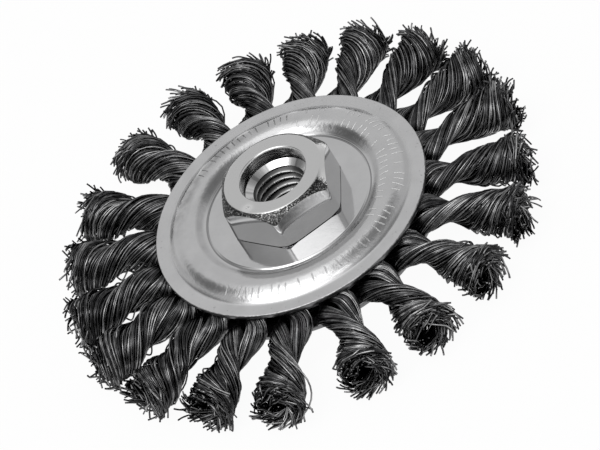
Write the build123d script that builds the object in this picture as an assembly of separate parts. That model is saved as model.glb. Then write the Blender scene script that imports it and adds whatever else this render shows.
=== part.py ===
# Wire wheel brush with twisted knots for an angle grinder, in millimetres.
# A hex hub nut holds two pressed plates, and the plates clamp a ring of wire knots.
# The origin is on the spindle's axis, half way through the knots. +Z leaves by the nut.
from build123d import *
import math
import os

# driving dimensions of the whole brush
brush_diameter = 115.0
plate_diameter = 66.0
knot_count = 20

# pressed plates, front and back alike
plate_thickness = 1.2
rim_height = 4.3
rim_width = 3.5
centre_rise = 0.5
bead_width = 8.8
bead_rise = 2.0
bead_crest_setback = 4.7
bead_bend_radius = 1.5

# hub nut with a tube that is turned over behind the back plate
nut_across_flats = 25.2
nut_height = 9.65
nut_turn = 4.5
nut_corner_rounding = 1.4
nut_face_inset = 0.9
nut_chamfer_start = 25.0
nut_chamfer_end = 62.0
nut_foot_inset = 1.1
nut_foot_angle = 45.0
tube_radius = 9.0
lip_overhang = 2.2
lip_thickness = 1.2
lip_rounding = 0.8

# bore of the nut: rounded mouth, wide counterbore and the core of an M14 thread
thread_core_radius = 5.92
thread_relief = 1.1
thread_lead_in = 0.45
counterbore_step = 2.08
counterbore_depth = 4.1
counterbore_slope = 0.5
mouth_rounding = 0.5

# disc that carries the folded bundles, and the spacers that fill the hub
disc_thickness = 1.5
disc_inset = 3.7
hole_radius = 2.8
hole_edge_width = 1.5
spacer_width = 5.0

# bundle of wires, from its fold in the hole to the clamped legs
bend_reach = 1.8
bend_half_width = 3.0
bend_tilt = 45.0
leg_half_width = 4.0
leg_start_inset = 0.8
leg_start_half_width = 3.6

# twisted part of a knot; positions are shares of the way from the rim to the tip
strand_gap = 0.3
leg_fade = 6.0
waist_size = 3.45
waist_position = 0.30
flare_size = 6.0
flare_position = 0.80
tip_size = 5.75
tip_hollow = 4.5
tip_fray = 1.5
valley_at_rim = 0.26
valley_at_tip = 0.10
twist_angle = 370.0
twist_steps = 11

# corners of a strand's section: on the round back of one side, and in all
back_corners = 3
back_angle = 86.0
ring_points = 10

# angle of the first knot, sag of the tips towards the table, and the angle by which each
# knot has been pushed round the axis, reached over the lean length beyond the rim
first_knot_angle = 9.0
tip_sag = 1.2
lean_length = 9.0
knot_lean = (
    1.5, 1.5, 1.0, -0.5, -2.0, -3.0, -3.0, -1.0, -2.0, -2.0,
    -3.0, -3.2, -3.2, -3.0, 0.8, 0.6, 1.4, 1.3, 0.7, 2.6,
)

# clearances
tube_clearance = 0.05
leg_clearance = 0.05
hole_clearance = 0.35

# sizes that follow from the driving ones
tip_radius = brush_diameter / 2
plate_radius = plate_diameter / 2
bead_foot_radius = plate_radius - rim_width
bead_crest_radius = bead_foot_radius - bead_crest_setback
centre_flat_radius = bead_foot_radius - bead_width
centre_height = rim_height + centre_rise
centre_inside = centre_height - plate_thickness
rim_inside = rim_height - plate_thickness
nut_top = centre_height + nut_height
nut_corner_radius = nut_across_flats / math.sqrt(3)
nut_face_radius = nut_across_flats / 2 - nut_face_inset
nut_foot_radius = nut_corner_radius - nut_foot_inset
counterbore_radius = thread_core_radius + counterbore_step
counterbore_floor = nut_top - counterbore_depth
thread_top = counterbore_floor - counterbore_slope - thread_lead_in
lip_radius = tube_radius + lip_overhang
lip_bottom = -centre_height - lip_thickness
hub_hole_radius = tube_radius + tube_clearance
disc_radius = plate_radius - disc_inset
disc_half = disc_thickness / 2
hole_circle_radius = disc_radius - hole_edge_width - hole_radius
spacer_radius = hub_hole_radius + spacer_width
bundle_radius = hole_radius - hole_clearance
leg_start = disc_radius - leg_start_inset
leg_inside = disc_half + leg_clearance
leg_outside = rim_inside - leg_clearance


def turned(outline):
    """Turn an outline of radius and height once round the axis."""
    return revolve(Plane.XZ * outline, axis=Axis.Z)


def pressed_plate():
    """Front plate: a flat centre, a raised bead and a flat rim, all in one sheet."""
    middle = plate_thickness / 2
    centre_end = (centre_flat_radius, centre_height - middle)
    bead_top = (bead_crest_radius, rim_height + bead_rise - middle)
    bead_end = (bead_foot_radius, rim_height - middle)
    centre = Line((hub_hole_radius, centre_height - middle), centre_end)
    bead = ThreePointArc(centre_end, bead_top, bead_end)
    rim = Line(bead_end, (plate_radius, rim_height - middle))
    sheet = Wire([centre, bead, rim])
    bends = sheet.vertices().sort_by(Axis.X)[1:3]
    sheet = sheet.fillet_2d(bead_bend_radius, bends)
    return turned(trace(sheet, line_width=plate_thickness))


def chamfer_point(angle):
    """Point of the nut's rounded top chamfer where it slopes down by an angle in degrees."""
    start = math.radians(nut_chamfer_start)
    end = math.radians(nut_chamfer_end)
    here = math.radians(angle)
    bend = (nut_corner_radius - nut_face_radius) / (math.sin(end) - math.sin(start))
    return (
        nut_face_radius + bend * (math.sin(here) - math.sin(start)),
        nut_top - bend * (math.cos(start) - math.cos(here)),
    )


def nut_body():
    """Hex prism with rounded corners, turned off to a chamfer at both ends."""
    foot_slope = nut_foot_inset * math.tan(math.radians(nut_foot_angle))
    hexagon = Rot(0, 0, nut_turn) * RegularPolygon(nut_corner_radius, 6)
    prism = extrude(Plane.XY.offset(centre_height) * hexagon, amount=nut_height)
    prism = fillet(prism.edges().filter_by(Axis.Z), nut_corner_rounding)
    chamfer = ThreePointArc(
        chamfer_point(nut_chamfer_end),
        chamfer_point((nut_chamfer_start + nut_chamfer_end) / 2),
        chamfer_point(nut_chamfer_start),
    )
    around = Polyline(
        (nut_face_radius, nut_top),
        (0, nut_top),
        (0, centre_height),
        (nut_foot_radius, centre_height),
        (nut_corner_radius, centre_height + foot_slope),
        chamfer_point(nut_chamfer_end),
    )
    return prism & turned(make_face(chamfer.edges() + around.edges()))


def hub_tube():
    """Tube below the nut, with its end turned over against the back plate."""
    outline = Polyline(
        (0, centre_height),
        (tube_radius, centre_height),
        (tube_radius, -centre_height),
        (lip_radius, -centre_height),
        (lip_radius, lip_bottom),
        (0, lip_bottom),
        close=True,
    )
    tube = turned(make_face(outline))
    return fillet(tube.edges().group_by(Axis.Z)[0], lip_rounding)


def hub_bore():
    """Space for the spindle: rounded mouth, counterbore, thread core and exit chamfer."""
    mouth_radius = counterbore_radius + mouth_rounding
    mouth_floor = nut_top - mouth_rounding
    rounding_share = mouth_rounding * (1 - math.sqrt(0.5))
    mouth = ThreePointArc(
        (mouth_radius, nut_top),
        (counterbore_radius + rounding_share, nut_top - rounding_share),
        (counterbore_radius, mouth_floor),
    )
    below_mouth = Polyline(
        (counterbore_radius, mouth_floor),
        (counterbore_radius, counterbore_floor),
        (thread_core_radius + thread_lead_in, thread_top + thread_lead_in),
        (thread_core_radius, thread_top),
        (thread_core_radius, lip_bottom + thread_relief),
        (thread_core_radius + thread_relief, lip_bottom),
        (0, lip_bottom),
        (0, nut_top),
        (mouth_radius, nut_top),
    )
    return turned(make_face(mouth.edges() + below_mouth.edges()))


def hub_nut():
    """Nut, tube and turned lip in one piece, bored right through."""
    return nut_body() + hub_tube() - hub_bore()


def knot_angles():
    """Angle of each knot's hole round the axis."""
    return [first_knot_angle + 360 / knot_count * number for number in range(knot_count)]


def core_disc():
    """Flat disc with one hole for each folded bundle."""
    disc = Cylinder(disc_radius, disc_thickness) - Cylinder(hub_hole_radius, disc_thickness)
    hole = Pos(hole_circle_radius, 0, 0) * Cylinder(hole_radius, disc_thickness)
    return disc - [Rot(0, 0, angle) * hole for angle in knot_angles()]


def front_spacer():
    """Ring between the core disc and the flat centre of the front plate."""
    height = centre_inside - disc_half
    ring = Circle(spacer_radius) - Circle(hub_hole_radius)
    return extrude(Plane.XY.offset(disc_half) * ring, amount=height)


def blend(start, end, share):
    """Smooth change from one size to another as the share goes from 0 to 1."""
    share = min(max(share, 0.0), 1.0)
    return start + (end - start) * (1 - math.cos(math.pi * share)) / 2


def knot_size(share):
    """Radius of the twisted part at a share of the way from the rim to the tip."""
    if share < waist_position:
        return blend(leg_half_width, waist_size, share / waist_position)
    if share < flare_position:
        part = (share - waist_position) / (flare_position - waist_position)
        return blend(waist_size, flare_size, part)
    return blend(flare_size, tip_size, (share - flare_position) / (1 - flare_position))


def oval(number):
    """Point of a unit oval whose inner side is flatter than its outer side."""
    angle = 2 * math.pi * number / ring_points
    across = math.sin(angle)
    out = math.cos(angle)
    if out < 0:
        out = -math.sqrt(-out)
    return out, across


def wound_point(number, size, valley):
    """Point of a strand's section: a round back, and flat where it meets the other strand."""
    side = 1 if number <= ring_points / 2 else -1
    place = min(number, ring_points - number)
    if place > back_corners:
        flat_share = (ring_points / 2 - place) / (ring_points / 2 - back_corners)
        return strand_gap / 2, side * size * flat_share
    angle = math.radians(back_angle * place / back_corners)
    reach = size * (1 - valley * math.sin(angle) ** 6)
    return reach * math.cos(angle), side * reach * math.sin(angle)


def twisted_ring(share):
    """Section of the front strand where it is wound round the knot's own axis."""
    size = knot_size(share)
    valley = blend(valley_at_rim, valley_at_tip, share)
    turn = math.radians(twist_angle) * share
    radius = plate_radius + (tip_radius - plate_radius) * share
    wound = blend(0, 1, (radius - plate_radius) / leg_fade)
    ring = []
    for number in range(ring_points):
        out, across = oval(number)
        leg_lift = (leg_outside + leg_inside) / 2 + out * (leg_outside - leg_inside) / 2
        leg_side = across * leg_half_width
        wound_lift, wound_side = wound_point(number, size, valley)
        lift = leg_lift + (wound_lift - leg_lift) * wound
        side = leg_side + (wound_side - leg_side) * wound
        sunk = 0
        if share == 1:
            sunk = tip_hollow * (1 - math.hypot(lift, side) / size) + tip_fray * (number % 2)
        ring.append((
            radius - sunk,
            side * math.cos(turn) + lift * math.sin(turn),
            lift * math.cos(turn) - side * math.sin(turn),
        ))
    return ring


def folded_ring(radius, height, half_thickness, half_width, tilt):
    """Section of the front half of the bundle between its hole and the rim."""
    lean = math.radians(tilt)
    ring = []
    for number in range(ring_points):
        out, across = oval(number)
        reach = out * half_thickness
        ring.append((
            radius - reach * math.sin(lean),
            across * half_width,
            height + reach * math.cos(lean),
        ))
    return ring


def hole_ring():
    """Round section of the bundle half way through its hole."""
    ring = []
    for number in range(ring_points):
        angle = 2 * math.pi * number / ring_points
        ring.append((
            hole_circle_radius - bundle_radius * math.cos(angle),
            bundle_radius * math.sin(angle),
            0.0,
        ))
    return ring


def front_rings():
    """Sections of the front half of a knot, from the tip in to the hole."""
    leg_half = (leg_outside - leg_inside) / 2
    leg_middle = (leg_outside + leg_inside) / 2
    twisted = [twisted_ring(1 - step / twist_steps) for step in range(twist_steps + 1)]
    leg = folded_ring(leg_start, leg_middle, leg_half, leg_start_half_width, 0)
    bend_height = leg_inside + bend_reach * math.sin(math.radians(bend_tilt))
    bend = folded_ring(hole_circle_radius, bend_height, bend_reach, bend_half_width, bend_tilt)
    return twisted + [leg, bend]


def knot_rings():
    """Sections along the whole folded bundle, from the front tip round to the back tip."""
    front = front_rings()
    back = []
    for ring in reversed(front):
        turned_over = [(x, -y, -z) for x, y, z in ring]
        back.append([turned_over[-number % ring_points] for number in range(ring_points)])
    return front + [hole_ring()] + back


def pushed(point, angle, lean):
    """Place a point of a knot on the brush, pushed and sagging beyond the rim."""
    x, y, z = point
    turn = math.radians(angle + blend(0, lean, (x - plate_radius) / lean_length))
    sag = blend(0, tip_sag, (x - plate_radius) / (tip_radius - plate_radius))
    return (
        x * math.cos(turn) - y * math.sin(turn),
        x * math.sin(turn) + y * math.cos(turn),
        z - sag,
    )


def skin(ring, following):
    """Flat triangles between two rings, split so that the strand stays rounded."""
    triangles = []
    for number in range(ring_points):
        after = (number + 1) % ring_points
        near, near_next = ring[number], ring[after]
        far, far_next = following[number], following[after]
        straight = math.hypot(near[1] + far_next[1], near[2] + far_next[2])
        crossed = math.hypot(near_next[1] + far[1], near_next[2] + far[2])
        if straight >= crossed:
            triangles += [(near, near_next, far_next), (near, far_next, far)]
        else:
            triangles += [(near, near_next, far), (near_next, far_next, far)]
    return triangles


def tip(ring):
    """Flat triangles that close a frayed tip round a hollow."""
    centre = [sum(point[axis] for point in ring) / ring_points for axis in range(3)]
    centre[0] -= tip_hollow / 3
    edges = zip(ring, ring[1:] + ring[:1])
    return [(tuple(centre), start, end) for start, end in edges]


def knot(angle, lean):
    """Bundle folded through its hole, with its two halves twisted together."""
    rings = knot_rings()
    triangles = tip(rings[0]) + tip(rings[-1])
    for ring, following in zip(rings, rings[1:]):
        triangles += skin(ring, following)
    faces = []
    for triangle in triangles:
        corners = [pushed(point, angle, lean) for point in triangle]
        faces.append(Face(Wire.make_polygon(corners, close=True)))
    return Solid(Shell(faces))


def write(shape, name):
    """Write one piece to its own file."""
    shape.label = name
    export_step(shape, f"parts/{name}.step")


def write_all():
    """Build every piece and write it."""
    os.makedirs("parts", exist_ok=True)
    plate = pressed_plate()
    spacer = front_spacer()
    write(hub_nut(), "hub_nut")
    write(plate, "front_plate")
    write(Rot(180, 0, 0) * plate, "back_plate")
    write(core_disc(), "core_disc")
    write(spacer, "front_spacer")
    write(Rot(180, 0, 0) * spacer, "back_spacer")
    for number, angle in enumerate(knot_angles()):
        lean = knot_lean[number % len(knot_lean)]
        write(knot(angle, lean), f"knot_{number + 1:02d}")


write_all()
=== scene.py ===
import math

import bpy
import numpy as np
from mathutils import Matrix, Vector


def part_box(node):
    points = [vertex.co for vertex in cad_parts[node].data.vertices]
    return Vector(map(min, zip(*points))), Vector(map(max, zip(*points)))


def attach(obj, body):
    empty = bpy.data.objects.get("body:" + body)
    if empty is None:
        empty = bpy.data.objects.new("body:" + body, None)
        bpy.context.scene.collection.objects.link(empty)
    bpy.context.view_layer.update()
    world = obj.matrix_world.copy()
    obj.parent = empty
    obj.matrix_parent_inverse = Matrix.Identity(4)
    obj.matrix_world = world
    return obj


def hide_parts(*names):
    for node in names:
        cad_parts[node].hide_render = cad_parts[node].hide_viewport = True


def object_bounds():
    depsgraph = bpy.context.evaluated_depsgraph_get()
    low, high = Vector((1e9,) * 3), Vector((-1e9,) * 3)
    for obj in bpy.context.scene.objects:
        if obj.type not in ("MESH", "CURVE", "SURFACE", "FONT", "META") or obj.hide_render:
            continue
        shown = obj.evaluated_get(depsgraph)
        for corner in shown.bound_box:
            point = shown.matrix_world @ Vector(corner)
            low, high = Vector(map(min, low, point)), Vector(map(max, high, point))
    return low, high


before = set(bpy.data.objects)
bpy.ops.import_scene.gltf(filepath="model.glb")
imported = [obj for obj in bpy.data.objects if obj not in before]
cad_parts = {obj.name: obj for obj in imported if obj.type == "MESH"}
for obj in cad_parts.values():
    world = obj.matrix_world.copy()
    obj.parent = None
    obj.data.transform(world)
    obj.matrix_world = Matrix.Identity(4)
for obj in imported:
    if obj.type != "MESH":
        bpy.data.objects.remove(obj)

cad_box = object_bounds()

# Front and back plates.
# Each is one disc of steel sheet, pressed to a flat centre, a raised bead and a flat rim,
# then plated with bright zinc. The two plates clamp the wire bundles between their rims.
mm = 0.001
plate_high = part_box("front_plate")[1]
plate_radius = plate_high.x
plate_bead_top = plate_high.z
plate_sheet = 1.2 * mm
plate_bead_rise = 2.0 * mm
plate_rim_top = plate_bead_top - plate_bead_rise
plate_centre_top = plate_rim_top + 0.5 * mm
plate_hole_radius = 9.05 * mm
plate_flat_radius = 20.7 * mm
plate_crest_radius = 24.8 * mm
plate_crease_radius = 29.5 * mm
plate_bend_blur = 0.45 * mm
plate_edge_rounding = 0.25 * mm
plate_groove_radius = 20.0 * mm
plate_groove_width = 0.20 * mm
plate_groove_depth = 0.27 * mm
plate_spokes = 320
zinc_dull = (0.55, 0.55, 0.555)
zinc_bright = (0.63, 0.63, 0.635)
# Dark colour for the rim's specks and the stain, for the darker edge and crease, and for painted shade in
# the groove, the inner bend and the strokes.
zinc_dirt_and_shade = (0.07, 0.07, 0.072, 1.0)
# Near white, used for the painted highlight in the strokes on the right.
zinc_painted_highlight = (0.95, 0.95, 0.95, 1.0)
zinc_cloud_scale = 160.0
zinc_speck_scale = 1500.0
zinc_grain_scale = 2600.0
zinc_grain_bump = 0.10
zinc_grain_depth = 0.03 * mm
zinc_dent_scale = 480.0
zinc_dent_bump = 0.04
zinc_bead_dent_bump = 0.44
zinc_dent_depth = 0.16 * mm
# How dark the ragged outer edge and the crease are made, and how dark the painted shade is in the groove
# and in the inner bend.
edge_darkening = 0.78
groove_painted_shade = 0.62
bend_painted_shade = (0.10, 0.34)
crease_darkening = 0.16
# Bands of radii on a plate: from, to and the width of the soft edge.
groove_band = (19.85 * mm, 20.35 * mm, 0.2 * mm)
bend_band = (20.6 * mm, 22.7 * mm, 0.7 * mm)
bead_band = (20.5 * mm, 29.6 * mm, 1.0 * mm)
stain_band = (24.0 * mm, 29.4 * mm, 1.6 * mm)
crease_band = (27.9 * mm, 29.6 * mm, 0.6 * mm)
rim_band = (30.6 * mm, 33.1 * mm, 2.0 * mm)
# A stain fades in between these values of y and of x.
stain_behind = (6 * mm, 20 * mm)
stain_left = (16 * mm, -2 * mm)
stain_scale = 300.0
stain_strength = (0.06, 0.46)
# Short strokes, stamped into the bead in an outer and an inner ring.
stroke_outer_ring = (25.9 * mm, 28.6 * mm)
stroke_inner_ring = (22.4 * mm, 25.0 * mm)
stroke_outer_count = 104
stroke_inner_count = 84
stroke_inward_shift = 1.3 * mm
stroke_right_from = 12.0 * mm
stroke_behind_from = 8.0 * mm
stroke_half_width = 0.105
stroke_core = 0.03
stroke_lean = 130.0
stroke_gaps = 0.28
stroke_uneven_start = 0.5 * mm
stroke_uneven_end = 0.7 * mm
stroke_outer_seed = 3.0
stroke_inner_seed = 47.0
# Painted shade in the strokes behind on the left, and a painted highlight in the strokes on the right.
stroke_painted_shade = 0.5
stroke_painted_highlight = 0.85
stroke_bump = 0.8
stroke_depth = 0.25 * mm
stroke_bare_bearing = math.radians(166)
stroke_bare_reach = math.radians(44)


def grid_mesh(name, rows, material):
    """Mesh from rows of points that each go once round; the rows close into a loop."""
    count, around = rows.shape[0], rows.shape[1]
    below = np.arange(count * around).reshape(count, around)
    above = np.roll(below, -1, axis=0)
    faces = np.stack([below, np.roll(below, -1, axis=1), np.roll(above, -1, axis=1), above], axis=-1)
    return points_mesh(name, rows.reshape(-1, 3), faces.reshape(-1, 4), material)


def points_mesh(name, points, faces, material):
    """Smooth-shaded mesh object from arrays of points and of faces with equal corner counts."""
    mesh = bpy.data.meshes.new(name)
    corners = faces.shape[1]
    mesh.vertices.add(len(points))
    mesh.vertices.foreach_set("co", np.asarray(points, np.float32).ravel())
    mesh.loops.add(faces.size)
    mesh.loops.foreach_set("vertex_index", faces.astype(np.int32).ravel())
    mesh.polygons.add(len(faces))
    mesh.polygons.foreach_set("loop_start", np.arange(0, faces.size, corners, dtype=np.int32))
    mesh.polygons.foreach_set("use_smooth", np.ones(len(faces), bool))
    mesh.update(calc_edges=True)
    mesh.validate()
    mesh.materials.append(material)
    piece = bpy.data.objects.new(name, mesh)
    bpy.context.scene.collection.objects.link(piece)
    return piece


def turned_rows(radii, heights, around):
    """Rows of points from a profile of radii and heights turned once round the axis."""
    angles = np.linspace(0, 2 * math.pi, around, endpoint=False)
    rows = np.empty((len(radii), around, 3))
    rows[:, :, 0] = radii[:, None] * np.cos(angles)
    rows[:, :, 1] = radii[:, None] * np.sin(angles)
    rows[:, :, 2] = heights[:, None]
    return rows


def arc_height(radius, first, middle, last):
    """Height at a radius on the circle through three points of radius and height."""
    ax, ay = first
    bx, by = middle
    cx, cy = last
    a, b, c = ax * ax + ay * ay, bx * bx + by * by, cx * cx + cy * cy
    area = 2 * (ax * (by - cy) + bx * (cy - ay) + cx * (ay - by))
    centre_radius = (a * (by - cy) + b * (cy - ay) + c * (ay - by)) / area
    centre_height = (a * (cx - bx) + b * (ax - cx) + c * (bx - ax)) / area
    size = math.hypot(ax - centre_radius, ay - centre_height)
    return centre_height + np.sqrt(np.maximum(size * size - (radius - centre_radius) ** 2, 0))


def plate_face_height(radius):
    """Height of the plate's outer face at each radius."""
    step = 0.05 * mm
    blur_steps = 30
    fine = np.arange(plate_hole_radius - 2 * mm, plate_radius + 2 * mm, step)
    bead = arc_height(
        fine,
        (plate_flat_radius, plate_centre_top),
        (plate_crest_radius, plate_bead_top),
        (plate_crease_radius, plate_rim_top),
    )
    height = np.where(fine < plate_flat_radius, plate_centre_top, bead)
    height = np.where(fine > plate_crease_radius, plate_rim_top, height)
    reach = np.arange(-blur_steps, blur_steps + 1) * step
    kernel = np.exp(-0.5 * (reach / plate_bend_blur) ** 2)
    soft = np.convolve(np.pad(height, blur_steps, mode="edge"), kernel / kernel.sum(), mode="valid")
    groove = np.exp(-0.5 * ((fine - plate_groove_radius) / plate_groove_width) ** 2)
    return np.interp(radius, fine, soft - plate_groove_depth * groove)


def plate_profile():
    """Closed outline of the sheet: outer face, rim edge, inner face and edge of the hole."""
    # The rings lie closer together where the sheet bends.
    radii = np.concatenate([
        np.linspace(plate_hole_radius, 19.0 * mm, 8),
        np.arange(19.2, 22.6, 0.1) * mm,
        np.arange(22.7, 28.4, 0.3) * mm,
        np.arange(28.5, 30.6, 0.12) * mm,
        np.linspace(30.8 * mm, plate_radius - plate_edge_rounding, 7),
    ])
    outer = plate_face_height(radii)
    slope = np.gradient(outer, radii)
    inner_radii = radii + plate_sheet * slope / np.sqrt(1 + slope * slope)
    inner = outer - plate_sheet / np.sqrt(1 + slope * slope)
    edge_span = 60
    edge = np.radians(np.linspace(edge_span, -edge_span, 5))
    half = plate_sheet / 2
    edge_radii = plate_radius - plate_edge_rounding + plate_edge_rounding * np.cos(edge)
    edge_rise = (half - 0.02 * mm) / math.sin(math.radians(edge_span))
    edge_heights = plate_rim_top - half + edge_rise * np.sin(edge)
    every_third = slice(None, None, -3)
    profile_radii = np.concatenate([radii, edge_radii, inner_radii[every_third]])
    profile_heights = np.concatenate([outer, edge_heights, inner[every_third]])
    return profile_radii, profile_heights


def new_material(name):
    """Empty node material; returns it with its node tree and its shader."""
    material = bpy.data.materials.new(name)
    material.use_nodes = True
    tree = material.node_tree
    return material, tree, tree.nodes["Principled BSDF"]


def add_node(tree, kind, inputs=None, **settings):
    """Node with its settings; an input is a value or another node's output socket."""
    node = tree.nodes.new(kind)
    for key, value in settings.items():
        setattr(node, key, value)
    for key, value in (inputs or {}).items():
        if isinstance(value, bpy.types.NodeSocket):
            tree.links.new(value, node.inputs[key])
        else:
            node.inputs[key].default_value = value
    return node


def math_node(tree, operation, *values, clamp=False):
    """Output of one math node on values or sockets."""
    inputs = dict(enumerate(values))
    return add_node(tree, "ShaderNodeMath", inputs, operation=operation, use_clamp=clamp).outputs[0]


def product(tree, first, *others):
    """Product of several values or sockets."""
    for value in others:
        first = math_node(tree, "MULTIPLY", first, value)
    return first


def vector_node(tree, operation, *values):
    """One vector math node on vectors or sockets."""
    return add_node(tree, "ShaderNodeVectorMath", dict(enumerate(values)), operation=operation)


def noise(tree, place, scale, detail, roughness=0.5):
    """Cloudy noise between 0 and 1 over a place."""
    inputs = {"Vector": place, "Scale": scale, "Detail": detail, "Roughness": roughness}
    return add_node(tree, "ShaderNodeTexNoise", inputs).outputs["Fac"]


def faded(tree, value, start, end, low=0.0, high=1.0, curve="LINEAR"):
    """Goes from low to high while a value goes from start to end, and stays level beyond."""
    inputs = {"Value": value, "From Min": start, "From Max": end, "To Min": low, "To Max": high}
    return add_node(tree, "ShaderNodeMapRange", inputs, interpolation_type=curve).outputs[0]


def between(tree, value, low, high, soft):
    """1 where a value lies between two others, with soft edges."""
    return product(tree, faded(tree, value, low, low + soft), faded(tree, value, high, high - soft))


def ramp(tree, source, stops):
    """Colour ramp over a value; the stops are pairs of a position and a colour or a grey."""
    node = add_node(tree, "ShaderNodeValToRGB", {"Fac": source})
    while len(node.color_ramp.elements) < len(stops):
        node.color_ramp.elements.new(0.5)
    for element, (position, colour) in zip(node.color_ramp.elements, stops):
        element.position = position
        grey = colour if isinstance(colour, tuple) else (colour, colour, colour)
        element.color = (*grey, 1.0)
    return node.outputs["Color"]


def mix_colour(tree, share, first, second):
    """Colour that goes from the first to the second as the share goes from 0 to 1."""
    node = add_node(tree, "ShaderNodeMix", {0: share, 6: first, 7: second}, data_type="RGBA")
    return node.outputs[2]


def bumped(tree, height, strength, distance, under=None, invert=False):
    """Normal of a surface that is raised by a height, on top of the bumps under it."""
    inputs = {"Height": height, "Strength": strength, "Distance": distance}
    if under is not None:
        inputs["Normal"] = under
    return add_node(tree, "ShaderNodeBump", inputs, invert=invert).outputs["Normal"]


def cell_chance(tree, cell, seed):
    """Random outputs that stay the same all over a numbered cell."""
    number = math_node(tree, "ADD", cell, seed)
    return add_node(tree, "ShaderNodeTexWhiteNoise", {"W": number}, noise_dimensions="1D").outputs


def stamped_row(tree, turn, radius, ring, strokes, seed):
    """One ring of short strokes, stamped round the bead at uneven lengths and tilts."""
    low, high = ring
    place = math_node(tree, "MULTIPLY", turn, strokes / (2 * math.pi))
    cell = math_node(tree, "FLOOR", place)
    chance = cell_chance(tree, cell, seed)["Color"]
    tilt, start, end = add_node(tree, "ShaderNodeSeparateColor", {"Color": chance}).outputs
    lean = math_node(tree, "MULTIPLY_ADD", tilt, 2 * stroke_lean, -stroke_lean)
    outward = math_node(tree, "SUBTRACT", radius, (low + high) / 2)
    sideways = math_node(tree, "SUBTRACT", math_node(tree, "FRACT", place), 0.5)
    across = math_node(tree, "ADD", sideways, product(tree, lean, outward))
    across = math_node(tree, "ABSOLUTE", across)
    line = faded(tree, across, stroke_half_width, stroke_core, curve="SMOOTHSTEP")
    first = math_node(tree, "MULTIPLY_ADD", start, stroke_uneven_start, low)
    last = math_node(tree, "MULTIPLY_ADD", end, -stroke_uneven_end, high)
    begun = math_node(tree, "GREATER_THAN", radius, first)
    unended = math_node(tree, "LESS_THAN", radius, last)
    kept = math_node(tree, "GREATER_THAN", cell_chance(tree, cell, seed + 0.5)["Value"], stroke_gaps)
    return product(tree, line, begun, unended, kept)


def stamped_strokes(tree, x, y, turn, radius):
    """Depth of all strokes, and how far they get painted shade behind on the left and a painted highlight
    on the right.
    """
    right = math_node(tree, "GREATER_THAN", x, stroke_right_from)
    behind = math_node(tree, "GREATER_THAN", y, stroke_behind_from)
    left_behind = product(tree, behind, math_node(tree, "SUBTRACT", 1.0, right))
    shifted = math_node(tree, "MULTIPLY_ADD", left_behind, stroke_inward_shift, radius)
    outer = stamped_row(tree, turn, shifted, stroke_outer_ring, stroke_outer_count, stroke_outer_seed)
    inner = stamped_row(tree, turn, radius, stroke_inner_ring, stroke_inner_count, stroke_inner_seed)
    marks = math_node(tree, "MAXIMUM", outer, product(tree, inner, right))
    bare = math_node(tree, "COSINE", math_node(tree, "SUBTRACT", turn, stroke_bare_bearing))
    marks = product(tree, marks, math_node(tree, "LESS_THAN", bare, math.cos(stroke_bare_reach)))
    stroke_shade = product(tree, marks, left_behind, stroke_painted_shade)
    return marks, stroke_shade, product(tree, marks, right, stroke_painted_highlight)


def bead_stain(tree, place, x, y, radius):
    """Faint cloudy stain on the bead, behind on the left."""
    behind = faded(tree, y, *stain_behind)
    left = faded(tree, x, *stain_left)
    cloud = faded(tree, noise(tree, place, stain_scale, 3.0, 0.6), 0.36, 0.64, *stain_strength)
    return product(tree, behind, left, between(tree, radius, *stain_band), cloud)


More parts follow.
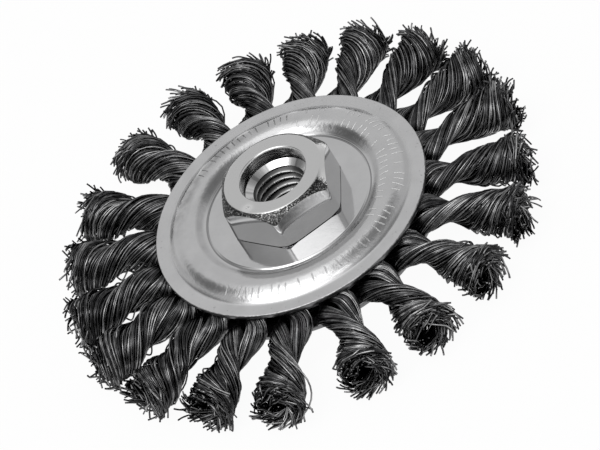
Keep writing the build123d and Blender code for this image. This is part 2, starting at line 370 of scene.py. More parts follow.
def plate_finish(stamped):
    """Bright zinc: mirror-like centre, dented bead and satin rim, with painted shade in its groove and
    inner bend, and a darker crease and edge.
    """
    material, tree, shader = new_material("bright_zinc_sheet" if stamped else "bright_zinc_sheet_plain")
    place = add_node(tree, "ShaderNodeTexCoord").outputs["Object"]
    x, y = add_node(tree, "ShaderNodeSeparateXYZ", {"Vector": place}).outputs[:2]
    flat = vector_node(tree, "MULTIPLY", place, (1.0, 1.0, 0.0)).outputs[0]
    radius = vector_node(tree, "LENGTH", flat).outputs["Value"]
    turn = math_node(tree, "ARCTAN2", y, x)
    cloud = noise(tree, place, zinc_cloud_scale, 6.0, 0.62)
    specks = noise(tree, place, zinc_speck_scale, 2.0)

    zone = ramp(tree, faded(tree, radius, 9 * mm, 33 * mm), [
        (0.0, 0.09), (0.45, 0.09), (0.50, 0.17), (0.84, 0.20), (0.87, 0.30), (1.0, 0.32),
    ])
    uneven = math_node(tree, "MULTIPLY_ADD", cloud, 0.10, -0.05)
    tree.links.new(math_node(tree, "ADD", zone, uneven, clamp=True), shader.inputs["Roughness"])

    ragged = math_node(tree, "MULTIPLY_ADD", specks, 0.30 * mm, radius)
    edge = faded(tree, ragged, plate_radius - 0.05 * mm, plate_radius + 0.07 * mm)
    dark = product(tree, edge, edge_darkening)
    cloudy = faded(tree, cloud, 0.38, 0.62, *bend_painted_shade)
    # Dark specks on the rim, painted shade in the groove and in the inner bend, and a darker crease.
    for darkening in (
        product(tree, faded(tree, specks, 0.67, 0.73), between(tree, radius, *rim_band)),
        product(tree, between(tree, radius, *groove_band), groove_painted_shade),
        product(tree, between(tree, radius, *bend_band), cloudy),
        product(tree, between(tree, radius, *crease_band), crease_darkening),
    ):
        dark = math_node(tree, "MAXIMUM", dark, darkening)
    colour = mix_colour(tree, dark, ramp(tree, cloud, [(0.25, zinc_dull), (0.75, zinc_bright)]), zinc_dirt_and_shade)

    grain = noise(tree, place, zinc_grain_scale, 2.0)
    normal = bumped(tree, grain, zinc_grain_bump, zinc_grain_depth)
    on_bead = between(tree, radius, *bead_band)
    strength = math_node(tree, "MULTIPLY_ADD", on_bead, zinc_bead_dent_bump, zinc_dent_bump)
    dents = noise(tree, place, zinc_dent_scale, 4.0, 0.65)
    normal = bumped(tree, dents, strength, zinc_dent_depth, normal)
    if stamped:
        marks, stroke_shade, stroke_highlight = stamped_strokes(tree, x, y, turn, radius)
        colour = mix_colour(tree, bead_stain(tree, place, x, y, radius), colour, zinc_dirt_and_shade)
        # Painted shade in the strokes behind on the left, and a painted highlight in those on the right.
        colour = mix_colour(tree, stroke_shade, colour, zinc_dirt_and_shade)
        colour = mix_colour(tree, stroke_highlight, colour, zinc_painted_highlight)
        normal = bumped(tree, marks, stroke_bump, stroke_depth, normal, invert=True)
    tree.links.new(normal, shader.inputs["Normal"])
    tree.links.new(colour, shader.inputs["Base Color"])
    shader.inputs["Metallic"].default_value = 1.0
    return material


plate_rows = turned_rows(*plate_profile(), plate_spokes)
front_plate = grid_mesh("front_plate_sheet", plate_rows, plate_finish(stamped=True))
back_plate = front_plate.copy()
back_plate.name = "back_plate_sheet"
back_plate.data = front_plate.data.copy()
back_plate.data.transform(Matrix.Rotation(math.pi, 4, "X"))
back_plate.data.materials[0] = plate_finish(stamped=False)
bpy.context.scene.collection.objects.link(back_plate)
for piece, node in ((front_plate, "front_plate"), (back_plate, "back_plate")):
    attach(piece, "root")
    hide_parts(node)

# Hub nut.
# A hex nut of bright plated steel with a tube below it, which is turned over behind the back
# plate. It is bored through: rounded mouth, plain counterbore, then the spindle's thread.
nut_low, nut_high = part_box("hub_nut")
nut_top = nut_high.z
nut_foot = plate_centre_top
nut_foot_gap = 0.16 * mm
nut_turn = math.radians(4.5)
nut_apothem = 12.6 * mm
nut_inset = 0.1 * mm
nut_sharp_corner = nut_apothem / math.cos(math.pi / 6)
nut_corner_rounding = 1.4 * mm
nut_face_radius = nut_apothem - 0.9 * mm
nut_face_draft = math.tan(math.radians(2.2))
nut_chamfer_start = math.radians(25)
nut_chamfer_end = math.radians(62)
nut_foot_radius = nut_sharp_corner - 1.1 * mm
nut_tube_radius = 9.0 * mm
nut_lip_radius = 11.2 * mm
nut_lip_shoulder = -plate_centre_top
nut_lip_bottom = nut_low.z
nut_counterbore_radius = 8.0 * mm
nut_counterbore_floor = nut_top - 4.1 * mm
nut_mouth_rounding = 0.5 * mm
nut_cone_rise = 1.05 * mm
thread_core = 5.92 * mm
thread_depth = 1.05 * mm
thread_pitch = 2.0 * mm
thread_half_crest = 1 / 16
thread_flank = 3 / 8
thread_lead_in = 0.45 * mm
thread_relief = 1.1 * mm
thread_top = nut_counterbore_floor - 0.95 * mm
thread_foot = nut_low.z + 1.1 * mm
thread_rows_a_pitch = 16
nut_spokes = 300
nut_corner_crowding = 0.38
nut_smooth_bearing = math.radians(-24)
nut_smooth_reach = 0.5
nut_chip_bearing = math.radians(-150)
nut_chip_radius = 10.4 * mm
nut_chip_length = 1.0 * mm
nut_chip_reach = 0.11
nut_chip_wear = 0.10
nut_streak_seed = 7
nut_streak_strength = 0.09
nut_streak_width = 5
nut_cloud_scale = 240.0
nut_sparkle_scale = 3600.0
nut_grain_scale = 2200.0
# Each point of the nut has a number that says which surface it lies on.
nut_zone_thread = 0.0
nut_zone_bore = 0.15
nut_zone_cone = 0.22
nut_zone_ring = 0.3
nut_zone_chamfer = 0.5
nut_zone_face = 0.75
nut_zone_hub = 1.0


def nut_angles():
    """Angles once round the nut, closer together at its six rounded corners."""
    even = np.linspace(-0.5, 0.5, nut_spokes // 6, endpoint=False)
    crowded = even * (1 - nut_corner_crowding) + 4 * even**3 * nut_corner_crowding
    sixth = math.pi / 6 + crowded * math.pi / 3
    return np.concatenate([nut_turn + sixth + math.pi / 3 * side for side in range(6)])


def nut_side_radius(angles):
    """Radius of the hex at each angle, with its corners rounded to an arc."""
    turn = np.abs(np.mod(angles - nut_turn, math.pi / 3) - math.pi / 6)
    flat = nut_apothem / np.cos(turn)
    centre = (nut_apothem - nut_corner_rounding) / math.cos(math.pi / 6)
    away = math.pi / 6 - turn
    inside = nut_corner_rounding**2 - (centre * np.sin(away)) ** 2
    arc = centre * np.cos(away) + np.sqrt(np.maximum(inside, 0))
    tangent = math.atan2(centre * math.sin(math.pi / 6), nut_apothem)
    return np.where(turn > tangent, arc, flat)


def nut_chamfer_drop(radius):
    """How far the rounded top chamfer lies below the ring at each radius."""
    start, end = math.sin(nut_chamfer_start), math.sin(nut_chamfer_end)
    bend = (nut_sharp_corner - nut_face_radius) / (end - start)
    slope = np.clip(start + (radius - nut_face_radius) / bend, start, end)
    return bend * (math.cos(nut_chamfer_start) - np.sqrt(1 - slope * slope))


def turn_from(angles, bearing):
    """Angles measured from a bearing, between half a turn back and half a turn on."""
    return np.mod(angles - bearing + math.pi, 2 * math.pi) - math.pi


def bell(value, middle, reach, power=2):
    """1 at the middle, falling towards 0 on both sides."""
    return np.exp(-(((value - middle) / reach) ** power))


def nut_top_rows(angles, side):
    """Radius, height and zone of each row over the mouth, the ring and the chamfer."""
    mouth_radius = nut_counterbore_radius + nut_mouth_rounding
    for share in np.radians(np.linspace(90, 0, 7)):
        yield (
            mouth_radius - nut_mouth_rounding * math.sin(share),
            nut_top - nut_mouth_rounding * (1 - math.cos(share)),
            nut_zone_ring,
        )
    chipped = bell(turn_from(angles, nut_chip_bearing), 0, nut_chip_reach)
    for radius in np.linspace(mouth_radius, nut_face_radius, 5)[1:]:
        chip = chipped * bell(radius, nut_chip_radius, nut_chip_length)
        yield radius, nut_top, nut_zone_ring + nut_chip_wear * chip
    coarse = 1 - bell(turn_from(angles, nut_smooth_bearing), 0, nut_smooth_reach, power=4)
    for share in (0.04, 0.12, 0.25, 0.4, 0.55, 0.7, 0.85, 0.96, 1.0):
        radius = nut_face_radius + (side - nut_inset - nut_face_radius) * share
        zone = nut_zone_ring + (nut_zone_chamfer - nut_zone_ring) * coarse * min(share / 0.12, 1)
        yield radius, nut_top - nut_chamfer_drop(radius + nut_inset * share), zone


def nut_outside_rows(side):
    """Radius, height and zone of each row down the six faces, the foot, the tube and the lip."""
    top_edge = nut_top - nut_chamfer_drop(side)
    foot_top = nut_foot + nut_foot_gap
    foot_edge = foot_top + 0.5 * np.maximum(side - nut_foot_radius, 0)
    for share in (0.015, 0.06, 0.25, 0.5, 0.75, 0.94, 0.985, 1.0):
        height = top_edge + (foot_edge - top_edge) * share
        yield side + nut_face_draft * (top_edge - height) - nut_inset, height, nut_zone_face
    outside = side + nut_face_draft * (top_edge - foot_edge) - nut_inset
    foot = np.minimum(outside, nut_foot_radius)
    for share in (0.1, 0.5, 1.0):
        yield outside + (foot - outside) * share, foot_edge + (foot_top - foot_edge) * share, nut_zone_face
    # The gap under the foot takes the dark hub zone, painted shade there.
    for radius, height in (
        (foot - 0.02 * mm, nut_foot + 0.98 * nut_foot_gap),
        (foot - 0.40 * mm, nut_foot + 0.90 * nut_foot_gap),
        (foot - 0.42 * mm, nut_foot),
        (11.0 * mm, nut_foot),
        (nut_tube_radius + 0.3 * mm, nut_foot),
        (nut_tube_radius, nut_foot),
        (nut_tube_radius, 0.0),
        (nut_tube_radius, nut_lip_shoulder),
    ):
        yield radius, height, nut_zone_hub
    for radius, height in (
        (nut_lip_radius - 0.1 * mm, nut_lip_shoulder),
        (nut_lip_radius, nut_lip_shoulder - 0.1 * mm),
        (nut_lip_radius, nut_lip_bottom + 0.6 * mm),
        (nut_lip_radius - 0.12 * mm, nut_lip_bottom + 0.3 * mm),
        (nut_lip_radius - 0.35 * mm, nut_lip_bottom + 0.1 * mm),
        (nut_lip_radius - 0.7 * mm, nut_lip_bottom),
        (nut_tube_radius, nut_lip_bottom),
        (thread_core + 1.2 * mm, nut_lip_bottom),
        (thread_core + 1.1 * mm, nut_lip_bottom + 0.03 * mm),
    ):
        yield radius, height, nut_zone_ring


def nut_bore_rows(angles):
    """Radius, height and zone of each row up the thread, the cone above it and the counterbore."""
    step = thread_pitch / thread_rows_a_pitch
    first = round((thread_foot - 0.9 * mm) / step)
    last = round((thread_top + 0.25 * mm) / step)
    turns = angles / (2 * math.pi)
    for number in range(first, last):
        height = (number + np.mod(thread_rows_a_pitch * turns, 1.0)) * step
        phase = np.mod(height / thread_pitch - turns, 1.0)
        groove = np.clip((0.5 - np.abs(phase - 0.5) - thread_half_crest) / thread_flank, 0, 1)
        open_end = np.clip((thread_foot - height) / thread_relief, 0, 1)
        lead_in = np.clip((height - thread_top) / thread_lead_in, 0, 1)
        widened = np.maximum(thread_relief * open_end, thread_lead_in * lead_in)
        out = np.maximum(thread_depth * groove, widened)
        # The thread's grooves take the thread zone, painted nearly black as shade; its crests take the
        # bore zone.
        yield thread_core + out, height, nut_zone_thread + nut_zone_bore * (1 - groove) ** 8
    shoulder = thread_core + thread_lead_in
    cone_foot = thread_top + thread_lead_in
    chance = np.random.default_rng(nut_streak_seed)
    spots = chance.normal(0, nut_streak_strength, nut_spokes + nut_streak_width - 1)
    streaks = np.convolve(spots, np.ones(nut_streak_width) / nut_streak_width, mode="valid")
    for share in (0.04, 0.35, 0.7, 0.98):
        radius = shoulder + (nut_counterbore_radius - shoulder) * share
        yield radius, cone_foot + nut_cone_rise * share, nut_zone_cone + streaks
    yield nut_counterbore_radius, cone_foot + nut_cone_rise + 0.05 * mm, nut_zone_bore
    yield nut_counterbore_radius, (nut_counterbore_floor + nut_top) / 2, nut_zone_bore


def nut_mesh(material):
    """The nut as one closed skin, with the zone of each point."""
    angles = nut_angles()
    side = nut_side_radius(angles)
    rows, zones = [], []
    for part in (nut_top_rows(angles, side), nut_outside_rows(side), nut_bore_rows(angles)):
        for radius, height, zone in part:
            ones = np.ones_like(angles)
            x, y = radius * np.cos(angles), radius * np.sin(angles)
            rows.append(np.stack([x, y, height * ones], axis=-1))
            zones.append(zone * ones)
    rows.reverse()
    zones.reverse()
    nut = grid_mesh("hub_nut_threaded", np.array(rows), material)
    written = nut.data.attributes.new("nut_zone", "FLOAT", "POINT")
    written.data.foreach_set("value", np.array(zones, np.float32).ravel())
    nut.data.set_sharp_from_angle(angle=math.radians(28))
    return nut


def nut_finish():
    """Bright zinc on turned steel: plain faces, a coarse chamfer painted near black as a dark reflection
    with painted glints, and a bore painted darker as shade, darkest in the thread.
    """
    material, tree, shader = new_material("bright_zinc_nut")
    place = add_node(tree, "ShaderNodeTexCoord").outputs["Object"]
    zone = add_node(tree, "ShaderNodeAttribute", attribute_name="nut_zone").outputs["Fac"]
    smooth = ramp(tree, zone, [
        (0.0, 0.24), (0.15, 0.12), (0.22, 0.14), (0.3, 0.15), (0.5, 0.34), (0.75, 0.05), (1.0, 0.3),
    ])
    uneven = math_node(tree, "MULTIPLY_ADD", noise(tree, place, nut_cloud_scale, 6.0, 0.6), 0.10, -0.05)
    tree.links.new(math_node(tree, "ADD", smooth, uneven, clamp=True), shader.inputs["Roughness"])

    # The bore is painted darker as shade, nearly black in the thread's grooves; the chamfer is painted
    # near black as a dark reflection; the dark hub zone paints shade in the gap under the foot.
    level = ramp(tree, zone, [
        (0.0, 0.05), (0.14, 0.40), (0.22, 0.66), (0.30, 0.62), (0.34, 0.74), (0.38, 0.74),
        (0.43, 0.05), (0.55, 0.05), (0.65, 0.58), (0.75, 0.58), (1.0, 0.12),
    ])
    coarse = between(tree, zone, 0.365, 0.62, 0.05)
    # Bright specks on the chamfer are painted glints.
    glints = noise(tree, place, nut_sparkle_scale, 3.0)
    sparkle = ramp(tree, glints, [(0.42, 0.35), (0.54, 1.0), (0.64, 8.0)])
    sparkle = mix_colour(tree, coarse, (1.0, 1.0, 1.0, 1.0), sparkle)
    colour = vector_node(tree, "MULTIPLY", level, sparkle).outputs[0]
    colour = vector_node(tree, "MINIMUM", colour, (0.9, 0.9, 0.9)).outputs[0]
    tree.links.new(colour, shader.inputs["Base Color"])

    strength = math_node(tree, "MULTIPLY_ADD", coarse, 0.45, 0.02)
    normal = bumped(tree, noise(tree, place, nut_grain_scale, 3.0), strength, 0.08 * mm)
    tree.links.new(normal, shader.inputs["Normal"])
    shader.inputs["Metallic"].default_value = 1.0
    return material


hub_nut = nut_mesh(nut_finish())
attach(hub_nut, "root")
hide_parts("hub_nut")

# Core disc and spacers.
# Plain steel rings, hidden between the plates. Only the disc's edge could be seen, between
# two bundles. They keep their solids and get the colour of oiled sheet steel.
def inner_steel_finish():
    """Dull oiled steel with a faint rolled grain."""
    material, tree, shader = new_material("oiled_sheet_steel")
    place = add_node(tree, "ShaderNodeTexCoord").outputs["Object"]
    cloud = noise(tree, place, 300.0, 5.0)
    tone = ramp(tree, cloud, [(0.3, (0.10, 0.10, 0.105)), (0.7, (0.17, 0.17, 0.175))])
    tree.links.new(tone, shader.inputs["Base Color"])
    tree.links.new(ramp(tree, cloud, [(0.3, 0.35), (0.7, 0.5)]), shader.inputs["Roughness"])
    shader.inputs["Metallic"].default_value = 1.0
    return material


inner_steel = inner_steel_finish()
for name in ("core_disc", "front_spacer", "back_spacer"):
    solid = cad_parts[name]
    solid.data.materials.clear()
    solid.data.materials.append(inner_steel)

# Wire knots.
# Twenty bundles of carbon steel wire, dark with oil. Each is folded through a hole in the core
# disc, and its two halves are twisted together and cut off, so that the ends flare and fray.
knot_count = 20
knot_first_angle = 9.0
# One value for each knot: lean in degrees, change of length in mm, tightness of the waist.
knot_lean = (
    1.5, 1.5, 1.0, -0.5, -2.0, -3.0, -3.0, -1.0, -2.0, -2.0,
    -3.0, -3.2, -3.2, -3.0, 0.8, 0.6, 1.4, 1.3, 0.7, 2.6,
)
knot_length_change = (
    0.0, -0.3, 0.0, -0.4, -0.8, -1.0, 0.0, 0.3, 0.3, 0.7,
    1.2, 1.0, 0.0, 0.8, -0.6, -0.6, -0.1, 0.0, -1.0, -0.2,
)
knot_tightness = (
    0.18, 0.17, 0.15, 0.08, -0.03, -0.05, -0.06, -0.06, -0.06, -0.05,
    -0.04, 0.02, 0.10, 0.08, 0.06, 0.06, 0.10, 0.17, 0.18, 0.18,
)
knot_lean_length = 9.0 * mm
knot_droop = 1.2 * mm
knot_end_radius = 55.2 * mm
knot_tip_radius = 57.5 * mm
knot_clamped_height = plate_rim_top - plate_sheet - 0.3 * mm
knot_clamped_width = 4.3 * mm
knot_side_step = 0.7 * mm
knot_waist_radius = 4.2 * mm
knot_waist_position = 0.28
knot_tight_position = 0.22
knot_tight_reach = 0.3
knot_flare_radius = 5.6 * mm
knot_flare_position = 0.90
knot_flare_curve = 1.3
knot_mouth_radius = 5.3 * mm
knot_flatness = 0.42
knot_rounding = 0.88
knot_tip_soft = 0.9 * mm
knot_tip_limit = 2.2 * mm
knot_height_soft = 0.9 * mm
knot_height_limit = 6.0 * mm
knot_hollow = 0.22
knot_valley = 0.08
knot_valley_fill = 0.6
knot_ridges = 11
knot_ridge = 0.24 * mm
knot_start_turn = math.radians(70)
knot_twist = math.radians(350)
knot_swirl = math.radians(90)
knot_swirl_span = 0.26
knot_half_spread = math.radians(88)
# Shares of the way from the rim to the tip, between which a knot changes.
knot_leaves_clamp = (0.02, 0.16)
knot_halves_meet = (0.0, 0.25)
knot_gets_ridges = (0.12, 0.42)
knot_gets_round = (0.24, 0.84)
knot_gets_hollow = (0.45, 0.95)
knot_starts_turning = (-0.12, 0.08)
knot_starts_swirling = 0.66
# Each knot differs a little from the others.
knot_seed = 100
knot_sizes = (0.96, 1.04)
knot_twists = (0.94, 1.08)
knot_ridge_shift = 2.4
knot_tufts = 9
wire_radius = 0.205 * mm
wire_layers = (
    # depth in the bundle, wires in one half, radius where they start, points along, sides
    (1.0, 27, 30.0 * mm, 30, 5),
    (0.82, 22, 30.0 * mm, 30, 4),
    (0.60, 16, 32.0 * mm, 19, 4),
    (0.34, 12, 32.0 * mm, 19, 4),
)
# Depths from which a wire takes part in the ridges, and from which it can spring out or hang.
wire_in_view = 0.7
wire_outermost = 0.9
wire_depth_scatter = 0.03
wire_spread_scatter = 0.35
# How much longer or shorter a wire is, in mm: with its tuft, by itself, and deep inside.
wire_cuts = (0.7, 0.5, 0.9)
# Two waves that a wire makes sideways: size and pace.
wire_waves = ((0.09, 3.1), (0.07, 8.0))
# How far an outermost wire springs out of its bundle and how far it hangs below, in mm.
wire_sprung = 0.15
wire_sprung_places = (0.45, 0.95)
wire_sprung_reach = 0.12
wire_hanging = 0.42
wire_hanging_reach = 0.5
wire_hangs = (0.2, 0.5)
# Wires that have sprung out in a bow: the shares of the way between which they leave the twist,
# how far they go on from there, and the height of their bows in mm.
loose_wires = 4
loose_wire_steps = 16
loose_wire_sides = 5
loose_wire_depth = 0.92
loose_wire_twist = math.radians(260)
loose_starts = (0.35, 0.76)
loose_spans = (0.09, 0.20)
loose_bows = (0.4, 1.1)
loose_bow_start = 0.4 * mm
# One knot in front has a long bow as well: its side, where it starts and ends, and its height.
long_bow_knot = 13
long_bow = (math.pi / 2, 0.42, 0.97, 2.1 * mm)
free_end_length = 2.7 * mm
free_end_lengths = (0.6, 1.35)
free_end_overlap = 0.35
free_end_steps = 6
free_end_tuft = 0.22
free_end_scatter = 0.10
free_end_inner_scatter = 0.35
free_end_curl = 0.16
free_end_bend_scatter = 0.08


def rise(value, start, end):
    """Smooth step from 0 at the start to 1 at the end."""
    share = np.clip((value - start) / (end - start), 0, 1)
    return (1 - np.cos(math.pi * share)) / 2


def soft_limit(value, start, end):
    """Values that stay as they are up to a start and then level off before an end."""
    room = end - start
    over = np.maximum(np.abs(value) - start, 0)
    return np.sign(value) * (np.minimum(np.abs(value), start) + room * np.tanh(over / room))


def knot_radius(share):
    """Radius of the twisted part at a share of the way from the rim to the tip."""
    radius = knot_clamped_width
    radius = radius + (knot_waist_radius - radius) * rise(share, 0, knot_waist_position)
    flare = rise(share, knot_waist_position, knot_flare_position) ** knot_flare_curve
    radius = radius + (knot_flare_radius - knot_waist_radius) * flare
    return radius + (knot_mouth_radius - knot_flare_radius) * rise(share, knot_flare_position, 1)


def wire_distance(share, across, depth, habit):
    """Distance of a wire from its knot's middle line, where each half is flat and then rounds out."""
    tight = habit["tight"] * bell(share, knot_tight_position, knot_tight_reach)
    size = knot_radius(share) * habit["size"] * (1 - tight)
    beside = np.abs(np.sin(across))
    flat = knot_flatness * (1 - knot_rounding * rise(share, *knot_gets_round))
    valley = knot_valley * (1 - knot_valley_fill * rise(share, 0, 1))
    hollow = knot_hollow * rise(share, *knot_gets_hollow)
    return size * (1 - flat * beside**2) * (1 - valley * beside**6) * (hollow + (1 - hollow) * depth)


def wire_turn(share, depth, habit):
    """Angle that the twist has reached, with the ends swirling round the hollow mouth."""
    start = knot_start_turn * (0.6 + 0.4 * rise(share, *knot_starts_turning))
    twist = knot_twist * habit["twist"] * share * (0.8 + 0.2 * share)
    reached = np.clip((share - knot_starts_swirling) / knot_swirl_span, 0, 1.2)
    return start + twist + knot_swirl * (1.3 - 0.5 * depth) * reached**2


def free_end(line, depth, tuft, chance):
    """Short frayed end that a wire goes on with past the twist."""
    heading = line[-1] - line[-2]
    heading = heading / np.linalg.norm(heading) + free_end_tuft * tuft[1:4]
    heading = heading + chance.normal(0, free_end_scatter + free_end_inner_scatter * (1 - depth), 3)
    heading /= np.linalg.norm(heading)
    steps = np.linspace(0, 1, free_end_steps + 1)[1:, None]
    way = steps * free_end_length * chance.uniform(*free_end_lengths)
    inward = -line[-1] * np.array([0, 1, 1]) / max(np.linalg.norm(line[-1, 1:]), 0.5 * mm)
    bend = free_end_curl * inward + chance.normal(0, free_end_bend_scatter, 3)
    return line[-1] + heading * way + bend * way * way / free_end_length


def wire_line(half, depth, spread, begin, steps, tuft, chance, habit):
    """Centre line of one wire of a knot that points along +X."""
    with_tuft, alone, inside = wire_cuts
    cut = (with_tuft * tuft[0] + alone * chance.normal() + inside * (1 - depth)) * mm
    end = knot_end_radius + habit["length"] + cut - free_end_overlap * free_end_length
    reach = np.linspace(begin, end, steps - free_end_steps)
    share = (reach - plate_radius) / (knot_tip_radius - plate_radius)
    wander = chance.normal(0, 1, 6)
    (long_size, long_pace), (short_size, short_pace) = wire_waves
    long_wave = long_size * wander[0] * np.sin(long_pace * share + wander[1])
    short_wave = short_size * wander[2] * np.sin(short_pace * share + wander[3])
    across = spread * knot_half_spread + (long_wave + short_wave) * np.clip(share * 2, 0, 1)
    out = wire_distance(share, across, depth, habit)
    place = across + wire_turn(share, depth, habit) + half * math.pi
    if depth > wire_in_view:
        ridges = np.cos(knot_ridges * (across + half * math.pi) + habit["ridge"])
        out = out + knot_ridge * rise(share, *knot_gets_ridges) * ridges
    if depth > wire_outermost:
        sprung = bell(share, chance.uniform(*wire_sprung_places), wire_sprung_reach)
        below = bell(np.mod(place, 2 * math.pi), 1.5 * math.pi, wire_hanging_reach)
        below = below * rise(share, *wire_hangs)
        out = out + (wire_sprung * abs(wander[4]) * sprung + wire_hanging * abs(wander[5]) * below) * mm
    y = out * np.sin(place) + knot_side_step * (1 - 2 * half) * (1 - rise(share, *knot_halves_meet))
    z = out * np.cos(place)
    clamped_z = soft_limit(z, 0.7 * knot_clamped_height, knot_clamped_height)
    z = z + (clamped_z - z) * (1 - rise(share, *knot_leaves_clamp))
    line = np.stack([reach, y, z], axis=-1)
    line = np.concatenate([line, free_end(line, depth, tuft, chance)])
    tip_start, tip_end = knot_tip_radius + knot_tip_soft, knot_tip_radius + knot_tip_limit
    line[:, 0] = soft_limit(line[:, 0], tip_start, tip_end)
    line[:, 2] = soft_limit(line[:, 2], knot_height_limit - knot_height_soft, knot_height_limit)
    return line


def loose_line(side, first, last, bow, habit):
    """Centre line of a wire that has sprung out of the twist in a bow, between two shares."""
    way = np.linspace(0, 1, loose_wire_steps)
    share = first + (last - first) * way
    lift = (bow + loose_bow_start) * np.sin(math.pi * way**1.3) - loose_bow_start
    out = knot_radius(share) * habit["size"] * loose_wire_depth + lift
    place = side + loose_wire_twist * (last - first) * (way - 0.6)
    reach = plate_radius + (knot_tip_radius - plate_radius) * share
    return np.stack([reach, out * np.sin(place), out * np.cos(place)], axis=-1)


def wire_tubes(lines, sides):
    """Points and faces of round wires along many lines with equal point counts."""
    lines = np.asarray(lines)
    count, steps = lines.shape[:2]
    along = np.gradient(lines, axis=1)
    along /= np.linalg.norm(along, axis=2, keepdims=True)
    out = lines * np.array([0, 1, 1])
    out -= along * np.sum(out * along, axis=2, keepdims=True)
    out /= np.maximum(np.linalg.norm(out, axis=2, keepdims=True), 1e-9)
    beside = np.cross(along, out)
    angles = np.linspace(0, 2 * math.pi, sides, endpoint=False)
    ring = out[:, :, None] * np.cos(angles)[:, None] + beside[:, :, None] * np.sin(angles)[:, None]
    points = lines[:, :, None] + wire_radius * ring
    index = np.arange(count * steps * sides).reshape(count, steps, sides)
    low, high = index[:, :-1], index[:, 1:]
    faces = np.stack([low, np.roll(low, -1, axis=2), np.roll(high, -1, axis=2), high], axis=-1)
    return points.reshape(-1, 3), np.concatenate([faces.reshape(-1, 4), index[:, -1, :4]])


def knot_batches(number, chance, habit):
    """Lines of all wires of one knot, in batches with the sides that their tubes have."""
    for depth, wires, begin, steps, sides in wire_layers:
        lines = []
        for half in (0, 1):
            tufts = chance.normal(0, 1, (knot_tufts, 4))
            for wire in range(wires):
                scatter = chance.uniform(-wire_spread_scatter, wire_spread_scatter)
                spread = (wire + 0.5 + scatter) / wires * 2 - 1
                tuft = tufts[int((spread + 1) * 4.2) % knot_tufts]
                within = depth + chance.normal(0, wire_depth_scatter)
                lines.append(wire_line(half, within, spread, begin, steps, tuft, chance, habit))
        yield lines, sides
    lines = [loose_line(*long_bow, habit)] if number == long_bow_knot else []
    for _ in range(loose_wires):
        first = chance.uniform(*loose_starts)
        last = first + chance.uniform(*loose_spans)
        side = chance.uniform(-math.pi, math.pi)
        lines.append(loose_line(side, first, last, chance.uniform(*loose_bows) * mm, habit))
    yield lines, loose_wire_sides


def placed_on_wheel(points, number):
    """Points of a knot along +X, turned to its place with its lean, and drooping at the tip."""
    x, y, z = points.T
    lean = knot_lean[number] * rise(x, plate_radius, plate_radius + knot_lean_length)
    turn = np.radians(knot_first_angle + 360 / knot_count * number + lean)
    return np.stack([
        x * np.cos(turn) - y * np.sin(turn),
        x * np.sin(turn) + y * np.cos(turn),
        z - knot_droop * rise(x, plate_radius, knot_tip_radius),
    ], axis=-1)


def knot_mesh(number, material):
    """All visible wires of one knot as one mesh, with a tone for each wire."""
    chance = np.random.default_rng(knot_seed + number)
    habit = {
        "size": chance.uniform(*knot_sizes),
        "twist": chance.uniform(*knot_twists),
        "length": knot_length_change[number] * mm,
        "tight": knot_tightness[number],
        "ridge": knot_ridge_shift * number,
    }
    all_points, all_faces, all_tones, offset = [], [], [], 0
    # The list makes all lines first, because the tones are drawn by the same chance.
    for lines, sides in list(knot_batches(number, chance, habit)):
        points, faces = wire_tubes(lines, sides)
        all_points.append(points)
        all_faces.append(faces + offset)
        all_tones.append(np.repeat(chance.uniform(0, 1, len(lines)), len(points) // len(lines)))
        offset += len(points)
    placed = placed_on_wheel(np.concatenate(all_points), number)
    knot = points_mesh(f"wire_knot_{number + 1:02d}", placed, np.concatenate(all_faces), material)
    tone = knot.data.attributes.new("wire_tone", "FLOAT", "POINT")
    tone.data.foreach_set("value", np.concatenate(all_tones).astype(np.float32))
    return knot


def wire_finish():
    """Dark oiled steel wire, some of it rubbed bright, with painted shade on the sides that face down."""
    material, tree, shader = new_material("oiled_steel_wire")
    place = add_node(tree, "ShaderNodeTexCoord").outputs["Object"]
    cloud = noise(tree, place, 420.0, 3.0, 0.6)
    tone = add_node(tree, "ShaderNodeAttribute", attribute_name="wire_tone").outputs["Fac"]
    patches = math_node(tree, "MULTIPLY_ADD", cloud, 0.9, -0.18)
    colour = ramp(tree, math_node(tree, "MULTIPLY_ADD", tone, 0.62, patches), [
        (0.22, (0.022, 0.022, 0.023)),
        (0.56, (0.088, 0.088, 0.090)),
        (0.80, (0.24, 0.24, 0.243)),
        (1.0, (0.46, 0.46, 0.46)),
    ])
    # Sides that face down are painted darker: painted shade.
    normal = add_node(tree, "ShaderNodeNewGeometry").outputs["Normal"]
    upward = add_node(tree, "ShaderNodeSeparateXYZ", {"Vector": normal}).outputs[2]
    colour = mix_colour(tree, faded(tree, upward, 0.05, -0.55), colour, (0.020, 0.020, 0.020, 1.0))
    tree.links.new(colour, shader.inputs["Base Color"])
    tree.links.new(ramp(tree, cloud, [(0.3, 0.30), (0.75, 0.17)]), shader.inputs["Roughness"])
    shader.inputs["Specular Tint"].default_value = (0.38, 0.38, 0.38, 1.0)
    shader.inputs["Metallic"].default_value = 1.0
    return material


steel_wire = wire_finish()
for number in range(knot_count):
    knot = knot_mesh(number, steel_wire)
    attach(knot, "root")
    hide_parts(f"knot_{number + 1:02d}")

# White table.
# The brush lies just above a wide white table top. The camera and the bright metal see it almost
# as plain white, with only a faint soft shadow of the brush.
table_height = cad_box[0][2] - 0.5 * mm
table_half = 3.0
table_white = (0.82, 0.82, 0.82, 1.0)
table_seen_white = 0.95


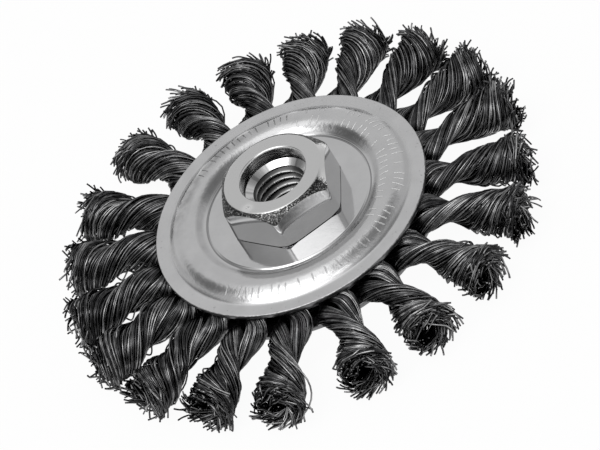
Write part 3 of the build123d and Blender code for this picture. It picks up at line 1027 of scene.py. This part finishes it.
def white_table_finish():
    """White that the camera and reflections see as plain background, with a faint shadow."""
    material, tree, shader = new_material("white_table")
    shader.inputs["Base Color"].default_value = table_white
    shader.inputs["Roughness"].default_value = 0.9
    rays = add_node(tree, "ShaderNodeLightPath").outputs
    seen = math_node(tree, "MAXIMUM", rays["Is Camera Ray"], rays["Is Glossy Ray"])
    seen = math_node(tree, "MAXIMUM", seen, rays["Is Transmission Ray"])
    share = product(tree, seen, table_seen_white)
    glow = add_node(tree, "ShaderNodeEmission").outputs[0]
    mix = add_node(tree, "ShaderNodeMixShader", {0: share, 1: shader.outputs[0], 2: glow})
    tree.links.new(mix.outputs[0], tree.nodes["Material Output"].inputs["Surface"])
    return material


table_corners = [
    (x * table_half, y * table_half, table_height) for x, y in ((-1, -1), (1, -1), (1, 1), (-1, 1))
]
table_mesh = bpy.data.meshes.new("table_top")
table_mesh.from_pydata(table_corners, [], [(0, 1, 2, 3)])
table_mesh.materials.append(white_table_finish())
floor = bpy.data.objects.new("table_top", table_mesh)
bpy.context.scene.collection.objects.link(floor)

# Studio light.
# Soft grey walls all round with two dark and three bright cards, which the bright zinc mirrors,
# and one large soft lamp above on the left.
studio_wall = 0.70
studio_cards = (
    # bearing and height in degrees, spread in degrees, softness in degrees, brightness
    (-150, 66, 21, 8, 1.6),
    (125, 76, 16, 9, 1.4),
    (6, 66, 15, 11, 0.24),
    (136, 41, 13, 7, 0.16),
    (-88, 54, 12, 3, 2.65),
)
lamp_place = (-0.42, -0.16, 0.95)
lamp_side = 0.6
lamp_power = 2.0


def studio_world():
    """World with the walls and the cards."""
    world = bpy.data.worlds.new("studio")
    world.use_nodes = True
    tree = world.node_tree
    heading = add_node(tree, "ShaderNodeTexCoord").outputs["Generated"]
    level = studio_wall
    for bearing, height, spread, soft, brightness in studio_cards:
        a, h = math.radians(bearing), math.radians(height)
        centre = (math.cos(a) * math.cos(h), math.sin(a) * math.cos(h), math.sin(h))
        near = vector_node(tree, "DOT_PRODUCT", heading, centre).outputs["Value"]
        rim = math.cos(math.radians(spread + soft))
        full = math.cos(math.radians(spread - soft))
        share = faded(tree, near, rim, full, curve="SMOOTHSTEP")
        mix = add_node(tree, "ShaderNodeMix", {"Factor": share, "A": level, "B": brightness})
        level = mix.outputs["Result"]
    background = tree.nodes["Background"]
    tree.links.new(level, background.inputs["Strength"])
    background.inputs["Color"].default_value = (1.0, 1.0, 1.0, 1.0)
    return world


bpy.context.scene.world = studio_world()
lamp_data = bpy.data.lights.new("key_lamp", "AREA")
lamp_data.shape = "SQUARE"
lamp_data.size = lamp_side
lamp_data.energy = lamp_power
lamp = bpy.data.objects.new("key_lamp", lamp_data)
lamp.location = lamp_place
lamp.rotation_euler = (-Vector(lamp_place)).to_track_quat("-Z", "Y").to_euler()
bpy.context.scene.collection.objects.link(lamp)

# Camera.
# It looks at the nut's side from in front and above through a long lens, and is rolled as the
# photograph is.
camera_place = Vector((-0.04369, -0.56727, 0.50598 + plate_rim_top))
camera_right = Vector((0.83613, -0.40185, -0.37337))
camera_up = Vector((0.54561, 0.53911, 0.64161))
camera_back = Vector((-0.05654, -0.74018, 0.67003))
camera_data = bpy.data.cameras.new("camera")
camera_data.lens = 201.2
camera_data.sensor_width = 36.0
camera_data.clip_start = 0.05
camera = bpy.data.objects.new("camera", camera_data)
camera_turn = Matrix((camera_right, camera_up, camera_back)).transposed()
camera.matrix_world = Matrix.Translation(camera_place) @ camera_turn.to_4x4()
bpy.context.scene.collection.objects.link(camera)
bpy.context.scene.camera = camera
bpy.context.scene.view_settings.view_transform = "Standard"
